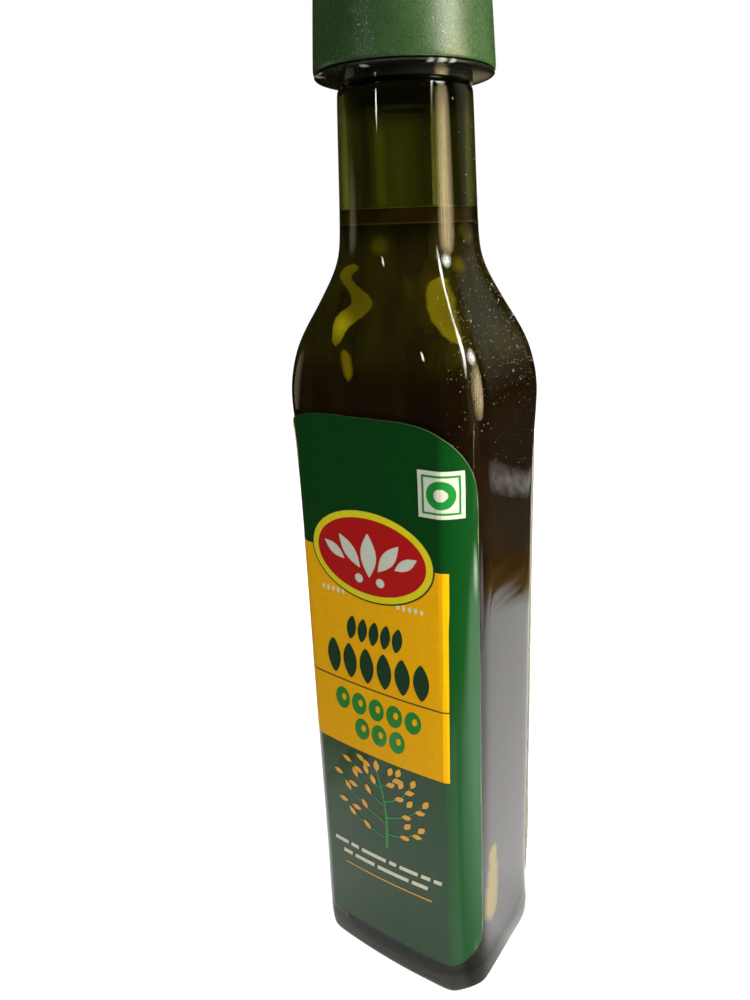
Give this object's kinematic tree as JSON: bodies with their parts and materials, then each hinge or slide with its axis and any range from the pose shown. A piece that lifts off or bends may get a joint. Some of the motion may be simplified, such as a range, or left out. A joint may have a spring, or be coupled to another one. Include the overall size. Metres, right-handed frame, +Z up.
{
  "type": "oil bottle",
  "caption": "Filled grocery bottle of olive oil: rectangular glass body with a waisted shoulder and round neck, pour fitment, screw cap and wrap-round front and back labels.",
  "frame": {"origin": "Centre of the footprint, on the surface the bottle stands on.", "axes": "+Z up along the bottle, -Y out of the front label, X across the front, the bare side face seen in the picture towards +X."},
  "size_m": [0.0512, 0.042, 0.2374],
  "materials": {
    "glass": "dark olive-green bottle glass, clear and glossy",
    "oil": "deep olive-yellow oil",
    "fitment": "glossy black",
    "cap": "satin pearly green",
    "front_label": "coated dark green paper, printed",
    "back_label": "coated dark green paper"
  },
  "bodies": {
    "root": {"bottle_glass": "glass", "olive_oil": "oil", "pour_fitment": "fitment", "screw_cap": "cap", "front_label": "front_label", "back_label": "back_label"}
  },
  "joints": []
}
